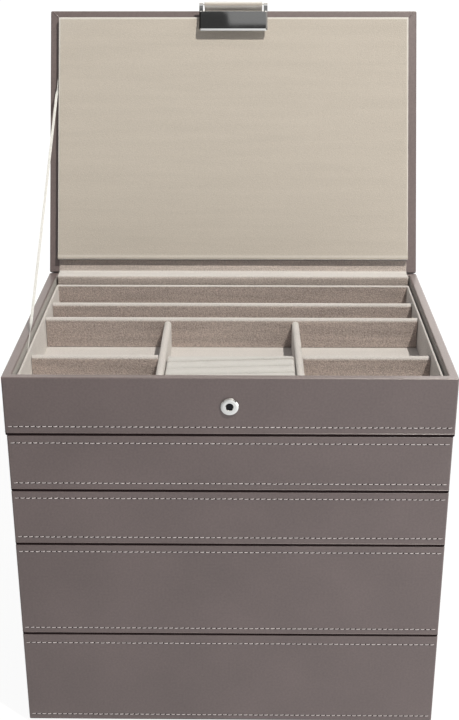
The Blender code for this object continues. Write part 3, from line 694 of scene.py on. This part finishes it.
# Seams between the top tray's rolls: how far they are from the pad's rear, at its left and its right
RING_SEAMS = ((8.2 * MM, 3.4 * MM), (18.4 * MM, 12.2 * MM), (27.4 * MM, 22.4 * MM), (37.8 * MM, 34.6 * MM))
ROLL_PITCH = 9.8 * MM
ROLL_END_RUN = 1.8 * MM
ROLL_SECTIONS = 48
ROLL_SIDES = 28

# A roll's size at its ends, and what it fills of its room, with the share that wavers
ROLL_END_SHARE = 0.45
ROLL_END_GIRTH_SHARE = 0.8
ROLL_GIRTH_SHARES = (0.965, 0.02)
ROLL_HEIGHT_SHARES = (0.985, 0.012)
ROLL_SWAY = 0.10 * MM
# Powers below 1 make the section squarer than a circle
ROLL_SIDE_POWER, ROLL_TOP_POWER = 0.66, 0.58
# Waves to the metre, step from roll to roll and seed
SWAY_WAVER, GIRTH_WAVER, HEIGHT_WAVER = (70, 9.7, 1.3), (90, 3.1, 7.7), (60, 5.3, 2.2)


def even_seams(node):
    """Seams that part a pad into even rolls."""
    low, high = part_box(node)
    depth = high.y - low.y
    count = round(depth / ROLL_PITCH)
    return [(depth * number / count, depth * number / count) for number in range(1, count)]


def waver(x, number, waves, step, seed):
    return noise.noise(Vector((x * waves, number * step, seed)))


def signed_power(value, power):
    return math.copysign(abs(value) ** power, value)


def roll_loop(low, high, number, along, start, end):
    """Section of a roll that lies between two seams, at a share of its length."""
    x = low.x + (high.x - low.x) * along
    full = domed(min(x - low.x, high.x - x) / ROLL_END_RUN)
    scale = ROLL_END_SHARE + (1 - ROLL_END_SHARE) * full
    girth = ROLL_GIRTH_SHARES[0] + ROLL_GIRTH_SHARES[1] * waver(x, number, *GIRTH_WAVER)
    girth *= ROLL_END_GIRTH_SHARE + (1 - ROLL_END_GIRTH_SHARE) * scale
    height = ROLL_HEIGHT_SHARES[0] + ROLL_HEIGHT_SHARES[1] * waver(x, number, *HEIGHT_WAVER)
    half_y = (end - start) / 2 * girth
    half_z = (high.z - low.z) / 2 * height
    centre_y = high.y - (start + end) / 2 + ROLL_SWAY * waver(x, number, *SWAY_WAVER)
    loop = []
    for side in range(ROLL_SIDES):
        angle = math.tau * side / ROLL_SIDES
        y = centre_y + signed_power(math.cos(angle), ROLL_SIDE_POWER) * half_y
        z = low.z + half_z + signed_power(math.sin(angle), ROLL_TOP_POWER) * half_z * scale
        loop.append(Vector((x, y, z)))
    return loop


def ring_rolls(name, node, body, seams):
    """Soft rolls side by side, parted by seams a given way in front of the pad's rear, left and right."""
    low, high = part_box(node)
    depth = high.y - low.y
    edges = [(0.0, 0.0), *seams, (depth, depth)]
    shape = bmesh.new()
    for number, (rear, front) in enumerate(zip(edges, edges[1:])):
        loops = []
        for section in range(ROLL_SECTIONS + 1):
            along = 0.5 - 0.5 * math.cos(math.pi * section / ROLL_SECTIONS)
            start = rear[0] + (rear[1] - rear[0]) * along
            end = front[0] + (front[1] - front[0]) * along
            loops.append(roll_loop(low, high, number, along, start, end))
        loft(shape, loops)
    rolls = finish_piece(name, shape, "roll_velvet", sharp=75.0)
    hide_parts(node)
    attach(rolls, body)


LOWER_ROLLS = "lower_tray_ring_pad_rolls"
ring_rolls("ring_rolls", "ring_pad_rolls", "top_tray", RING_SEAMS)
ring_rolls("lower_ring_rolls", LOWER_ROLLS, "lower_tray", even_seams(LOWER_ROLLS))


# Hinge fabric


FABRIC_THICK = 0.5 * MM
FABRIC_HEM = 8.3 * MM
FABRIC_FREE = 1.6 * MM
FABRIC_BEND = 2.5 * MM
FABRIC_SUNK = 0.05 * MM
FLAP_THICK = 0.6 * MM
FLAP_HEM = 8.6 * MM
FLAP_BEND = 1.5 * MM
FABRIC_SPACING = 0.8 * MM
FABRIC_COLUMNS = 60
FABRIC_RIPPLE = 0.10 * MM
FLAP_RIPPLE = 0.03 * MM


def turn_with_lid(piece):
    """Moves a piece's placement into its mesh; the piece is not blended from the tray to the lid."""
    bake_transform(piece)


def hinge_fabric():
    """Velvet over the rear rim, from the ledge's front up to its hem on the lid."""
    low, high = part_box("hinge_strip")
    front = low.y + FABRIC_THICK / 2
    over = HINGE.y - LID_UNDERSIDE + FIT_GAP + FABRIC_THICK / 2
    lid_z = LID_UNDERSIDE - FABRIC_SUNK - FABRIC_THICK / 2
    crossing = (lid_z * math.cos(LID_OPEN) - (over - HINGE.y)) / -math.sin(LID_OPEN)
    rim_front = Vector((front, over))
    path = [on_lid(-FABRIC_HEM, lid_z)]
    path += bend(on_lid(-FABRIC_FREE, lid_z), on_lid(-crossing, lid_z), Vector((HINGE.x - FABRIC_FREE, over)))
    path += bend(rim_front + Vector((FABRIC_BEND, 0)), rim_front, rim_front - Vector((0, FABRIC_BEND)))
    path.append(Vector((front, low.z)))
    strip = band("hinge_fabric", refined(path, FABRIC_SPACING), high.x - low.x, FABRIC_THICK, "hinge_velvet",
                 FABRIC_RIPPLE, FABRIC_COLUMNS)
    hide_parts("hinge_strip")
    turn_with_lid(strip)


def outer_flap():
    """Leatherette outside the hinge, from the rear wall up onto the lid."""
    low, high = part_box("hinge_flap")
    stand = FIT_GAP + FLAP_THICK / 2
    corner = stand * (1 + math.cos(LID_OPEN - math.pi)) / math.sin(LID_OPEN)
    path = [Vector((HINGE.x + stand, low.z))]
    path += bend(HINGE + Vector((stand, -corner - FLAP_BEND)), HINGE + Vector((stand, -corner)),
                 on_lid(stand, corner + FLAP_BEND))
    path.append(on_lid(stand, FLAP_HEM))
    flap = band("hinge_outer_flap", refined(path, FABRIC_SPACING), high.x - low.x, FLAP_THICK, "leatherette",
                FLAP_RIPPLE, FABRIC_COLUMNS)
    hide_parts("hinge_flap")
    turn_with_lid(flap)


hinge_fabric()
outer_flap()


# Strap


STRAP_SPACE = 1.2 * MM
STRAP_THICK = 0.62 * MM
STRAP_PRESSED = 0.02 * MM
STRAP_RISE = 8.6 * MM
STRAP_HEM_STEP = 1.0 * MM
STRAP_SPACING = 0.7 * MM
STRAP_COLUMNS = 30
STRAP_RIPPLE = 0.03 * MM
STRAP_OUTER_END = -2.0 * MM
STRAP_INNER_END = -3.0 * MM
PIN_OUT = 2.1 * MM
PIN_DROP = 7.4 * MM
LOOP_RADIUS = 1.8 * MM
LOOP_DEGREES = (150, 375)
LOOP_STEPS = 22


def closure_strap():
    """Velvet strap: sewn to the lid's edge, down round the pin and up again behind itself."""
    face = LID_FRONT - FIT_GAP
    outer = face - STRAP_SPACE + STRAP_THICK / 2
    inner = face - STRAP_THICK / 2 + STRAP_PRESSED
    top = LID_UNDERSIDE + STRAP_RISE
    pin = Vector((LID_FRONT - PIN_OUT, -PIN_DROP))
    outside = [Vector((outer, z)) for z in (top, LID_UNDERSIDE, STRAP_OUTER_END)]
    ring = arc(pin, LOOP_RADIUS - STRAP_THICK / 2, *LOOP_DEGREES, LOOP_STEPS)
    inside = [Vector((inner, z)) for z in (STRAP_INNER_END, LID_UNDERSIDE, top - STRAP_HEM_STEP)]
    path = [on_lid(point.x, point.y) for point in refined(outside + ring + inside, STRAP_SPACING)]
    low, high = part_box("closure_strap")
    strap = band("velvet_strap", path, high.x - low.x, STRAP_THICK, "lid_velvet", STRAP_RIPPLE, STRAP_COLUMNS)
    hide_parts("closure_strap", "strap_anchor")
    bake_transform(strap)


closure_strap()


# Ribbon


RIBBON_X = -120.2 * MM
RIBBON_BOX_Y = -32.0 * MM
RIBBON_BOX_DROP = 4.4 * MM
RIBBON_LID_REACH = 132.6 * MM
RIBBON_LID_STAND = 1.3 * MM
RIBBON_TAIL = 7 * MM
RIBBON_BOX_FLAT = 15 * MM
RIBBON_LID_FLAT = 6 * MM
RIBBON_TWIST_RUN = 9 * MM
RIBBON_HALF_WIDTH = 0.85 * MM
RIBBON_HALF_THICK = 0.18 * MM
RIBBON_STEPS = 90
# Corners of the ribbon's section, as shares of its half width and half thickness
RIBBON_SECTION_SHARES = ((0.96, 0.7), (0.6, 1), (-0.6, 1), (-0.96, 0.7), (-1, 0),
                         (-0.96, -0.7), (-0.6, -1), (0.6, -1), (0.96, -0.7), (1, 0))


def ribbon():
    """Woven ribbon, flat to the wall at both ends and turned to the front between them."""
    anchor = Vector((RIBBON_BOX_Y, RIM - RIBBON_BOX_DROP))
    end = on_lid(-RIBBON_LID_REACH, LID_UNDERSIDE - RIBBON_LID_STAND)
    along = (end - anchor).normalized()
    start = anchor - along * RIBBON_TAIL
    length = (end - start).length
    flat = Vector((0, -along.y, along.x))
    sideways = Vector((1, 0, 0))
    loops = []
    for step in range(RIBBON_STEPS + 1):
        run = length * step / RIBBON_STEPS
        past_flat = min(run - RIBBON_BOX_FLAT, length - run - RIBBON_LID_FLAT)
        twist = RIGHT_ANGLE * smooth(0, RIBBON_TWIST_RUN, past_flat)
        wide = (flat * math.cos(twist) + sideways * math.sin(twist)) * RIBBON_HALF_WIDTH
        thin = (sideways * math.cos(twist) - flat * math.sin(twist)) * RIBBON_HALF_THICK
        place = Vector((RIBBON_X, *(start + along * run)))
        loops.append([place + wide * across + thin * out for across, out in RIBBON_SECTION_SHARES])
    shape = bmesh.new()
    loft(shape, loops)
    made = finish_piece("ribbon", shape, "ribbon")
    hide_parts("ribbon_stay")
    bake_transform(made)


ribbon()


# Floor, light and camera


class Studio(Wiring):
    """Nodes of the floor or the world, from an empty tree."""

    def __init__(self, owner):
        super().__init__(owner)
        self.tree.nodes.clear()

    def light(self, kind, strength, colour=(1, 1, 1, 1)):
        return self.node(kind, Color=colour, Strength=strength).outputs[0]

    def mix(self, share, first, second):
        return self.node("MixShader", _0=share, _1=first, _2=second).outputs[0]


# The floor's corners, its glow by the distance from the box, and the painted reflection glow, brighter to the
# right, that reflections show of it across X
FLOOR_CORNERS = ((-3, -3), (3, -3), (3, 6), (-3, 6))
FLOOR_TONE = (0.75, 0.74, 0.74, 1)
FLOOR_SHADOW_TONE = (0.14, 0.14, 0.14, 1)
FLOOR_GLOW, FLOOR_GLOW_FAR = 0.93, 1.0
FLOOR_GLOW_RANGE = (0.5, 1.2)
FLOOR_PAINTED_REFLECTION_RANGE = (-0.40, 0.40)
FLOOR_PAINTED_REFLECTION_GLOWS = (0.40, 1.30)


def make_floor():
    """Wide floor that the camera sees as a white sweep with faint shadows, and that reflections show as a
    glow painted brighter towards the right.
    """
    shape = bmesh.new()
    shape.faces.new([shape.verts.new(Vector((x, y, 0))) for x, y in FLOOR_CORNERS])
    mesh = bpy.data.meshes.new("floor")
    shape.to_mesh(mesh)
    shape.free()
    floor = link("floor", mesh)
    material = bpy.data.materials.new("floor")
    look = Studio(material)
    rays = look.node("LightPath").outputs
    place = look.node("TexCoord").outputs["Object"]
    across = look.node("SeparateXYZ", _0=place).outputs["X"]
    away = look.node("VectorMath", {"operation": "LENGTH"}, _0=place).outputs["Value"]
    plain = look.node("BsdfDiffuse", Color=FLOOR_TONE).outputs[0]
    shadow = look.node("BsdfDiffuse", Color=FLOOR_SHADOW_TONE).outputs[0]
    glow = look.light("Emission", look.spread(away, *FLOOR_GLOW_RANGE, FLOOR_GLOW, FLOOR_GLOW_FAR))
    seen = look.node("AddShader", _0=shadow, _1=glow).outputs[0]
    # Painted reflection: the floor glows for glossy rays only, brighter towards the right
    mirrored = look.light("Emission", look.spread(across, *FLOOR_PAINTED_REFLECTION_RANGE, *FLOOR_PAINTED_REFLECTION_GLOWS))
    surface = look.mix(rays["Is Glossy Ray"], look.mix(rays["Is Camera Ray"], plain, seen), mirrored)
    look.node("OutputMaterial", _0=surface)
    mesh.materials.append(material)


KEY_POWER = 156.0
KEY_PLACE = Vector((0.65, -0.72, 2.08))
KEY_RADIUS = 0.025
KEY_TONE = (1.0, 0.96, 0.87)
SIDE_POWER = 3.5
SIDE_SIZE = 0.6
SIDE_PLACE = Vector((0.80, -0.75, 0.06))
SIDE_TARGET = Vector((0, 0, 0.12))


def make_lamps():
    """Small warm key from above on the right, and a soft low light from the right."""
    lamp = bpy.data.lights.new("key", "POINT")
    lamp.energy = KEY_POWER
    lamp.shadow_soft_size = KEY_RADIUS
    lamp.color = KEY_TONE
    link("key", lamp).location = KEY_PLACE
    lamp = bpy.data.lights.new("side", "AREA")
    lamp.energy = SIDE_POWER
    lamp.size = SIDE_SIZE
    side = link("side", lamp)
    side.location = SIDE_PLACE
    side.rotation_euler = (SIDE_PLACE - SIDE_TARGET).to_track_quat("Z", "Y").to_euler()
    side.visible_camera = False


# The dark card that the plaque mirrors, by the x and y of directions. Its heights run from -1 to 1 over
# CARD_RISE, its right border leans over CARD_BORDER and is cut back by CARD_CORNER towards its top.
CARD_RISE = (-0.6030, -0.5918)
CARD_BORDER = (-0.0116, -0.0138)
CARD_CORNER = 0.011
CARD_CORNER_RANGE = (0.30, 0.95)
CARD_CORNER_POWER = 2.0
CARD_BLUR = 0.0006
CARD_TOP = (0.90, 0.84)
CARD_BOTTOM = (-0.84, -0.90)

# Strengths of the world: the fill from below to above, and the field and the card that the plaque mirrors
FILL_GLOWS = (0.06, 0.36)
FIELD_GLOW, CARD_GLOW = 0.235, 0.045
FIELD_Y = 0.597
FIELD_EDGE = (0.045, 0.10)
HORIZON_EDGE = (0.0, -0.05)

# The warm room in all other reflections: ranges of x, y or z of the direction, and the strengths there
WARM_TONE = (1.0, 0.95, 0.90, 1)
ROOM_RISE_RANGE, ROOM_RISE_GLOWS = (-0.1, 0.3), (1.2, 2.6)
ROOM_FALL_RANGE, ROOM_FALL_SHARES = (0.42, 0.55), (1.0, 0.25)
ROOM_DEPTH_RANGE, ROOM_DEPTH_SHARES = (-0.3, 0.3), (0.35, 1.0)
FLAG_X_RANGE, FLAG_Z_RANGE, FLAG_SHARE = (-0.60, -0.66), (0.20, 0.26), 0.97


def mirror_card(look, x, y):
    """Studio card that only the tilted plaque shows: 1 in the dark card and 0 in the dim field round it."""
    up = look.spread(y, *CARD_RISE, -1.0, 1.0)
    rounding = look.math("POWER", look.spread(up, *CARD_CORNER_RANGE), CARD_CORNER_POWER)
    corner = look.math("MULTIPLY", rounding, CARD_CORNER)
    border = look.math("SUBTRACT", look.spread(up, -1.0, 1.0, *CARD_BORDER), corner)
    card = look.spread(look.math("SUBTRACT", border, x), 0.0, CARD_BLUR)
    card = look.math("MULTIPLY", card, look.spread(up, *CARD_TOP))
    return look.math("MAXIMUM", card, look.spread(up, *CARD_BOTTOM))


def warm_room(look, x, y, z):
    """Warm light, brightest on the right and behind the box, with a dark flag on the upper left."""
    rise = look.spread(x, *ROOM_RISE_RANGE, *ROOM_RISE_GLOWS)
    across = look.math("MULTIPLY", rise, look.spread(x, *ROOM_FALL_RANGE, *ROOM_FALL_SHARES))
    bright = look.math("MULTIPLY", across, look.spread(y, *ROOM_DEPTH_RANGE, *ROOM_DEPTH_SHARES))
    flag = look.math("MULTIPLY", look.spread(x, *FLAG_X_RANGE), look.spread(z, *FLAG_Z_RANGE))
    unflagged = look.math("SUBTRACT", 1.0, look.math("MULTIPLY", flag, FLAG_SHARE))
    return look.light("Background", look.math("MULTIPLY", bright, unflagged), WARM_TONE)


def make_world():
    """White behind the box, a soft fill on it, and a studio that only reflections show."""
    world = bpy.data.worlds.new("studio")
    bpy.context.scene.world = world
    look = Studio(world)
    rays = look.node("LightPath").outputs
    x, y, z = look.node("SeparateXYZ", _0=look.node("TexCoord").outputs["Generated"]).outputs
    fill = look.light("Background", look.spread(z, 0.0, 1.0, *FILL_GLOWS))
    field = look.light("Background", look.spread(mirror_card(look, x, y), 0.0, 1.0, FIELD_GLOW, CARD_GLOW))
    from_field = look.math("ABSOLUTE", look.math("ADD", y, FIELD_Y))
    away = look.math("MAXIMUM", look.math("ABSOLUTE", x), from_field)
    outside = look.math("MAXIMUM", look.spread(away, *FIELD_EDGE), look.spread(z, *HORIZON_EDGE))
    mirrored = look.mix(outside, field, warm_room(look, x, y, z))
    shown = look.mix(rays["Is Glossy Ray"], fill, mirrored)
    shown = look.mix(rays["Is Camera Ray"], shown, look.light("Background", 1.0))
    look.node("OutputWorld", _0=shown)


CAMERA_PLACE = (0.00744, -0.68892, 0.49660)
CAMERA_PITCH = math.radians(22.725)
CAMERA_ROLL = math.radians(-0.086)
CAMERA_YAW = -0.0124
CAMERA_LENS = 59.70
CAMERA_SENSOR = 36.0


def make_camera():
    """The photo's camera, fitted to the rim, lid and groove lines."""
    level = math.cos(CAMERA_PITCH)
    forward = Vector((math.sin(CAMERA_YAW) * level, math.cos(CAMERA_YAW) * level, -math.sin(CAMERA_PITCH)))
    right = forward.cross(Vector((0, 0, 1))).normalized()
    up = right.cross(forward)
    cosine, sine = math.cos(CAMERA_ROLL), math.sin(CAMERA_ROLL)
    turn = Matrix((right * cosine + up * sine, up * cosine - right * sine, -forward)).transposed().to_4x4()
    data = bpy.data.cameras.new("camera")
    data.lens = CAMERA_LENS
    data.sensor_width = CAMERA_SENSOR
    camera = link("camera", data)
    camera.matrix_world = Matrix.Translation(CAMERA_PLACE) @ turn
    bpy.context.scene.camera = camera


make_floor()
make_lamps()
make_world()
make_camera()
bpy.context.scene.view_settings.view_transform = "Standard"
